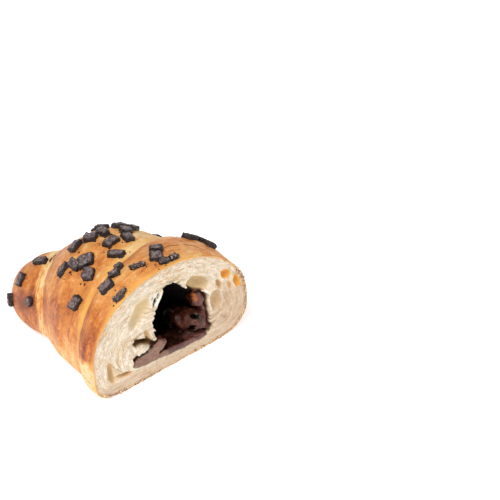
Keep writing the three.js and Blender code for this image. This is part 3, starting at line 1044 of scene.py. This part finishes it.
def split_cube(steps):
    """Points and faces of a cube from -1 to 1, split into steps by steps on each side."""
    line = np.linspace(-1, 1, steps + 1)
    index, points, faces = {}, [], []

    def corner(spot):
        if spot not in index:
            index[spot] = len(points)
            points.append([line[i] for i in spot])
        return index[spot]

    for axis in range(3):
        a, b = (axis + 1) % 3, (axis + 2) % 3
        for side in (0, steps):
            for i, j in itertools.product(range(steps), repeat=2):
                quad = []
                for di, dj in ((0, 0), (1, 0), (1, 1), (0, 1)):
                    spot = [0, 0, 0]
                    spot[axis], spot[a], spot[b] = side, i + di, j + dj
                    quad.append(corner(tuple(spot)))
                faces.append(quad if side else quad[::-1])
    return np.array(points), np.array(faces)


def rotated(points, angle):
    c, s = math.cos(angle), math.sin(angle)
    return points @ np.array([[c, s, 0], [-s, c, 0], [0, 0, 1]])


def joined(name, shapes, faces, values):
    """One piece of many shapes that all have the same faces."""
    all_faces = np.concatenate([faces + i * len(shapes[0]) for i in range(len(shapes))])
    return mesh_piece(name, np.concatenate(shapes), all_faces.tolist(), values)


def make_chips():
    cube, faces = split_cube(CHIP_STEPS)
    square = cube / (np.sum(np.abs(cube) ** CHIP_POWER, -1, keepdims=True) ** (1 / CHIP_POWER))
    inset = 1 - np.abs(cube[:, :2]).max(-1)
    shapes, top_highlights, flecks = [], [], []
    for index, (along, around, turn, length, width) in enumerate(CHIPS):
        place, axes = surface_frame(along, math.radians(around))
        thick = CHIP["thick"] + 2 * CHIP["chamfer"]
        shape = square * np.array([length, width, thick]) / 2
        shape[:, 0] += lerp(*CHIP_SKEW, scatter(index)) * shape[:, 1]
        seeded = shape + [index * 20, 0, 0]
        rough = jolts(seeded, 2.2, 3, 90)
        fine = jolts(seeded, 0.7, 1, 95)
        narrow = width < NARROW
        shape = shape + (NARROW_ROUGH if narrow else 1) * (rough * CHIP_ROUGH + CHIP_FINE * fine)
        shape[:, 2] += CHIP["thick"] / 2 - CHIP["sunk"]
        shapes.append(place + rotated(shape, math.radians(turn)) @ axes)
        # Painted highlight: the tops are lighter, but not near the edges
        top_highlights.append(smooth(cube[:, 2], 0.5, 1) * smooth(inset + 0.15 * fine[:, 0], 0.02, 0.3))
        flecks.append(np.full(len(cube), narrow))
    return joined("chips", shapes, faces, {"top": np.concatenate(top_highlights), "flecks": np.concatenate(flecks)})


def make_specks():
    """Crumbs of chocolate beside the chips."""
    draw = np.random.default_rng(12)
    cube, faces = split_cube(2)
    ball = unit(cube)
    shapes = []
    for _ in range(SPECKS):
        along, around, _, length, _ = CHIPS[draw.integers(SPECKLED)]
        angle = draw.uniform(0, 2 * math.pi)
        away = 0.5 * length + draw.exponential(0.5)
        share = np.clip(along + away * math.cos(angle) / AXIS_LENGTH, 0.012, 0.97)
        turn = math.radians(around) + away * math.sin(angle) / ROLL_RADIUS
        place, axes = surface_frame(share, turn)
        size = draw.uniform(*SPECK_SIZE) * draw.uniform(0.5, 1.8, 3)
        shape = ball * size * (1 + 0.35 * draw.uniform(-1, 1, (len(ball), 1)))
        shapes.append(place + axes[2] * 0.12 + rotated(shape, angle) @ axes)
    return joined("chocolate_specks", shapes, faces, {"top": np.zeros(SPECKS * len(ball))})


def make_edge_crumbs():
    """Crumbs of crust that hang on the lower edge of the cut."""
    draw = np.random.default_rng(33)
    cube, faces = split_cube(3)
    ball = unit(cube)
    shapes = []
    for index in range(EDGE_CRUMBS):
        edge = body(0, 0, math.radians(draw.uniform(*EDGE_TURN)), draw.uniform(0.1, 0.9))
        patchy = 1 + 0.9 * noise(edge[None], 3, 35)[0]
        size = patchy * draw.uniform(*EDGE_CRUMB_SIZE) * draw.uniform(0.7, 1.5, 3)
        place = edge + [0, draw.uniform(0, 0.5), 0.2]
        shapes.append(place + size * (ball + 0.3 * jolts(ball + index * 9, 0.8, 1, 0)))
    points = np.concatenate(shapes)
    values = dict.fromkeys(("toast", "gold", "rose", "lines", "crack_shade"), np.zeros(len(points)))
    values |= {"torn": np.ones(len(points)), "rolled": points}
    return joined("edge_crumbs", shapes, faces, values)


# Materials

def linear(red, green, blue):
    """A screen colour, 0 to 255, as the shader's own numbers."""
    channels = [c / 255 for c in (red, green, blue)]
    return (*[c / 12.92 if c <= 0.04045 else ((c + 0.055) / 1.055) ** 2.4 for c in channels], 1)


class Finish:
    """A material built of nodes round one Principled shader. Its colours are screen colours, 0 to 255."""

    def __init__(self, name, **sockets):
        self.material = bpy.data.materials.new(name)
        self.material.use_nodes = True
        self.tree = self.material.node_tree
        self.shader = self.tree.nodes["Principled BSDF"]
        self.place = self.tree.nodes.new("ShaderNodeTexCoord").outputs["Object"]
        for key, value in sockets.items():
            self.shader.inputs[key.replace("_", " ")].default_value = value

    def node(self, kind, inputs=(), output=0, **settings):
        made = self.tree.nodes.new("ShaderNode" + kind)
        for key, value in settings.items():
            setattr(made, key, value)
        for key, value in dict(inputs).items():
            if isinstance(value, bpy.types.NodeSocket):
                self.tree.links.new(value, made.inputs[key])
            else:
                made.inputs[key].default_value = value
        return made.outputs[output]

    def value(self, name):
        return self.node("Attribute", output=2, attribute_name=name)

    def vector(self, name):
        return self.node("Attribute", output=1, attribute_name=name)

    def maths(self, operation, a, b=0.0, clamp=False):
        return self.node("Math", {0: a, 1: b}, operation=operation, use_clamp=clamp)

    def total(self, *parts, operation="ADD"):
        result = parts[0]
        for part in parts[1:]:
            result = self.maths(operation, result, part)
        return result

    def product(self, *parts):
        return self.total(*parts, operation="MULTIPLY")

    def noise(self, size, detail=3.0, distortion=0.0, place=None):
        """Noise of a size in millimetres, or of three sizes, over the object or over a named vector."""
        sizes = size if isinstance(size, tuple) else (size, size, size)
        length = 1 if place else MM
        inputs = {0: place or self.place, 1: [1 / (s * length) for s in sizes]}
        scaled = self.node("VectorMath", inputs, operation="MULTIPLY")
        inputs = {"Vector": scaled, "Scale": 1.0, "Detail": detail, "Distortion": distortion}
        return self.node("TexNoise", inputs)

    def uneven(self, amount, *noise_settings, **more):
        """Noise that runs from about minus to plus an amount."""
        return self.range(self.noise(*noise_settings, **more), 0.28, 0.72, -amount, amount)

    def dots(self, spacing, radius):
        """One small dot in each stretch of a spacing: 1 in its middle, 0 outside."""
        inputs = {"Vector": self.place, "Scale": 1 / (spacing * MM)}
        return self.range(self.node("TexVoronoi", inputs), 0.4 * radius / spacing, radius / spacing, 1, 0)

    def ramp(self, value, stops):
        output = self.node("ValToRGB", {0: value})
        ramp = output.node.color_ramp
        while len(ramp.elements) < len(stops):
            ramp.elements.new(0.5)
        for element, (position, colour) in zip(ramp.elements, stops):
            element.position = position
            element.color = linear(*colour)
        return output

    def mix(self, factor, a, b):
        a, b = (colour if isinstance(colour, bpy.types.NodeSocket) else linear(*colour) for colour in (a, b))
        return self.node("Mix", {0: factor, 6: a, 7: b}, output=2, data_type="RGBA")

    def range(self, value, low, high, to_low=0.0, to_high=1.0):
        inputs = {0: value, 1: low, 2: high, 3: to_low, 4: to_high}
        return self.node("MapRange", inputs)

    def into(self, socket, value):
        self.tree.links.new(value, self.shader.inputs[socket])

    def paint(self, colour, *coats):
        """Lays coats over a colour, each after how much it covers, and makes that the base colour."""
        for cover, coat in coats:
            colour = self.mix(cover, colour, coat)
        self.into("Base Color", colour)

    def relief(self, *bumps):
        """Chains bumps, each with its height, its distance in millimetres and its strength."""
        below = {}
        for height, distance, strength in bumps:
            inputs = {"Height": height, "Distance": distance * MM, "Strength": strength}
            below["Normal"] = self.node("Bump", inputs | below)
        self.into("Normal", below["Normal"])


def crust_finish():
    mat = Finish("baked_crust", Subsurface_Weight=0.06, Subsurface_Scale=0.0012, Coat_Weight=0.05,
                 Coat_Roughness=0.3, Subsurface_Radius=(1.0, 0.45, 0.2), Specular_IOR_Level=0.28)
    rolled = mat.vector("rolled")
    mottle = mat.uneven(0.16, 2.2, 4, 0.8)
    grain = mat.uneven(0.1, 0.5, 3)
    streak = mat.uneven(0.06, (1.4, 4, 4), 3, 1.5, place=rolled)
    broad = mat.uneven(0.1, (3.6, 7, 7), 3, 1.8, place=rolled)
    ruled = mat.product(mat.uneven(0.36, (0.42, 12, 12), 3, 0.3, place=rolled), mat.value("lines"))
    baked = mat.ramp(mat.total(mat.value("toast"), mottle, grain, streak, broad, ruled), [
        (0.0, (250, 222, 172)),
        (0.2, (238, 192, 126)),
        (0.42, (228, 158, 88)),
        (0.62, (209, 127, 58)),
        (0.8, (180, 96, 50)),
        (1.0, (112, 54, 32)),
    ])
    golden = mat.maths("ADD", mat.value("gold"), mat.total(mottle, streak), clamp=True)
    mauve = mat.maths("ADD", mat.value("rose"), mat.total(broad, grain), clamp=True)
    bright = mat.mix(mat.range(mat.total(ruled, grain), -0.3, 0.3), (235, 159, 58), (249, 197, 110))
    speckle = mat.mix(mat.range(mat.noise(0.7, 3), 0.42, 0.6), (224, 196, 158), (140, 96, 68))
    mat.paint(
        baked,
        (mat.product(golden, 0.85), bright),
        (mat.product(mauve, 0.55), (178, 100, 72)),
        (mat.value("torn"), speckle),
        (mat.dots(8, 0.3), (96, 44, 28)),
        # Painted shade in the cracks
        (mat.range(mat.value("crack_shade"), 0.06, 0.14), (62, 32, 18)),
    )
    mat.into("Roughness", mat.range(mat.noise(1.6, 3), 0.3, 0.7, 0.36, 0.58))
    mat.relief(
        (mat.noise(0.35, 4), 0.08, 0.6),
        (mat.noise((0.5, 8, 8), 2, 0.6, place=rolled), 0.1, 0.4),
        (mat.noise(1.4, 4, 0.4), 0.25, 0.45),
    )
    return mat.material


def crumb_finish():
    mat = Finish("airy_crumb", Roughness=0.8, Subsurface_Scale=0.0012, Subsurface_Radius=(1.0, 0.75, 0.45),
                 Specular_IOR_Level=0.3)
    grains = []
    for key in ("rim_grain", "roll_grain"):
        place = mat.vector(key)
        wide = mat.noise((0.9, 3, 3), 3, 0.6, place=place)
        grains.append(mat.total(mat.noise((0.35, 1.2, 1.2), 3, 0.3, place=place), wide))
    at_rim, in_roll = grains
    fibre = mat.total(at_rim, mat.product(mat.maths("SUBTRACT", in_roll, at_rim), mat.value("in_roll")))
    pale = mat.ramp(mat.range(fibre, 0.62, 1.38), [
        (0.0, (182, 152, 122)),
        (0.3, (217, 196, 169)),
        (0.6, (236, 222, 202)),
        (1.0, (252, 245, 234)),
    ])
    near = mat.total(mat.value("depth"), mat.uneven(0.6, 1.2, 3))
    # Near-black painted shade inside the hollow and its gaps, over the praline coat
    black = mat.mix(mat.noise(2.0, 3), (10, 4, 3), (28, 12, 8))
    coating_and_shade = mat.value("coating_and_shade")
    mat.paint(
        pale,
        (mat.range(mat.noise(0.42, 3), 0.56, 0.66, 0, 0.7), (186, 152, 116)),
        # Painted shade: deeper crumb is darker yellow-tan
        (mat.range(mat.value("pit_shade_depth"), 0.6, 3.2, 0, 0.75), (228, 202, 150)),
        # Painted shade on the right and along the bottom
        (mat.product(mat.value("shade_right_and_low"), 0.5), (190, 152, 116)),
        (mat.range(near, 0.2, 1.7, 0.85, 0), (230, 178, 112)),
        (mat.product(mat.value("membrane"), 0.6), (246, 242, 234)),
        (mat.value("amber"), (230, 168, 82)),
        # Painted shade in the fold
        (mat.value("fold_shade"), (112, 78, 38)),
        # The hollow's coat and its painted shade: near-black, brown near the front at the right
        (coating_and_shade, mat.mix(mat.value("brown"), black, (86, 44, 26))),
    )
    mat.into("Subsurface Weight", mat.range(coating_and_shade, 0, 0.5, 0.22, 0))
    mat.relief((mat.noise(0.36, 4), 0.2, 0.8), (fibre, 0.3, 0.6))
    return mat.material


def praline_finish():
    mat = Finish("praline_cream", Coat_Weight=0.16, Coat_Roughness=0.1, Specular_IOR_Level=0.25)
    dark = mat.ramp(mat.range(mat.noise(3, 4, 0.8), 0.3, 0.7), [
        (0.0, (52, 22, 14)),
        (0.6, (86, 42, 30)),
        (1.0, (118, 68, 56)),
    ])
    purple = mat.mix(mat.noise((0.5, 4, 6), 3), (74, 40, 36), (134, 90, 82))
    smeared = mat.range(mat.noise((2.8, 3, 1.6), 4, 0.8), 0.3, 0.7)
    mat.paint(
        dark,
        (mat.product(mat.value("cutting"), 0.8), purple),
        (mat.value("milk"), mat.mix(smeared, (116, 76, 60), (150, 112, 92))),
        # Painted shade, near-black
        (mat.value("deep_shade"), (16, 5, 2)),
        # A painted amber glow of light
        (mat.value("glow"), (196, 108, 30)),
    )
    mat.into("Roughness", mat.range(mat.noise(1.2, 3), 0.3, 0.7, 0.16, 0.36))
    mat.relief((mat.noise(1.0, 4), 0.5, 0.9))
    return mat.material


def chip_finish():
    mat = Finish("chocolate_chips", Specular_IOR_Level=0.5)
    shade = mat.ramp(mat.range(mat.noise(1.0, 4), 0.3, 0.7), [
        (0.0, (20, 12, 13)),
        (0.55, (40, 27, 28)),
        (1.0, (66, 50, 50)),
    ])
    # Painted highlight on the chips' tops, broken up in patches and pits
    highlight_patches = mat.range(mat.noise(1.1, 4, 0.6), 0.4, 0.6, 0.25, 1)
    pitted = mat.range(mat.noise(0.45, 3), 0.38, 0.5, 0.2, 1)
    flecks = mat.value("flecks")
    mat.paint(
        shade,
        (mat.product(mat.value("top"), highlight_patches, pitted, mat.range(flecks, 0, 1, 1, 0.5)), (152, 132, 130)),
        (mat.product(flecks, mat.range(mat.noise(0.5, 2), 0.6, 0.66)), (206, 176, 156)),
    )
    mat.into("Roughness", mat.range(mat.noise(0.8, 2), 0.3, 0.7, 0.35, 0.6))
    mat.relief((mat.noise(0.4, 3), 0.25, 1.0), (mat.noise(1.1, 3), 0.45, 0.9))
    return mat.material


# Floor, light and camera

VIEW_AZIMUTH = math.radians(-42.4)
VIEW_ELEVATION = math.radians(35)
VIEW_TARGET = Vector((71.8, 6.05, 0)) * MM
VIEW_DISTANCE = 0.689
LENS = 120
FLOOR_SIZE = 6000
FLOOR_GREY = 0.8
FLOOR_GLOW = 0.56
WORLD_STRENGTH = 0.42
# Round lights: degrees round and up, then distance and size in metres, and watts
LIGHTS = {
    "key": (-65, 58, 1.2, 0.5, 10),
    "fill": (20, 30, 1.4, 1.0, 3),
}


def direction(azimuth, elevation):
    level = math.cos(elevation)
    return Vector((math.sin(azimuth) * level, -math.cos(azimuth) * level, math.sin(elevation)))


def aim(thing, back):
    thing.rotation_euler = back.to_track_quat("Z", "Y").to_euler()


def make_camera():
    camera = linked("camera", bpy.data.cameras.new("camera"))
    camera.data.lens = LENS
    camera.data.clip_start = 0.01
    back = direction(VIEW_AZIMUTH, VIEW_ELEVATION)
    camera.location = VIEW_TARGET + back * VIEW_DISTANCE
    aim(camera, back)
    bpy.context.scene.camera = camera


def softbox(name, azimuth, elevation, distance, size, watts):
    light = linked(name, bpy.data.lights.new(name, "AREA"))
    light.data.shape = "DISK"
    light.data.size = size
    light.data.energy = watts
    back = direction(math.radians(azimuth), math.radians(elevation))
    light.location = back * distance
    aim(light, back)


def make_stage():
    half = FLOOR_SIZE / 2
    corners = [(-half, -half, 0), (half, -half, 0), (half, half, 0), (-half, half, 0)]
    floor = mesh_piece("floor", corners, [(0, 1, 2, 3)])
    white = Finish("white_floor", Base_Color=(FLOOR_GREY, FLOOR_GREY, FLOOR_GREY, 1), Roughness=0.9,
                   Emission_Color=(1, 1, 1, 1), Emission_Strength=FLOOR_GLOW)
    floor.data.materials.append(white.material)
    world = bpy.data.worlds.new("studio")
    world.use_nodes = True
    background = world.node_tree.nodes["Background"].inputs
    background["Color"].default_value = (1, 1, 1, 1)
    background["Strength"].default_value = WORLD_STRENGTH
    bpy.context.scene.world = world
    bpy.context.scene.view_settings.view_transform = "Standard"
    for name, setting in LIGHTS.items():
        softbox(name, *setting)


def dress(piece, material):
    piece.data.materials.append(material)
    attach(piece, "root")
    return piece


make_camera()
make_stage()
baked = crust_finish()
crust = dress(make_crust(), baked)
edge_crumbs = dress(make_edge_crumbs(), baked)
crumb = dress(make_crumb(), crumb_finish())
chocolate = chip_finish()
chips = dress(make_chips(), chocolate)
specks = dress(make_specks(), chocolate)
filling = dress(make_praline(), praline_finish())
for piece in (crust, edge_crumbs, crumb, chips, specks):
    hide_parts("dough")
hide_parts("praline")
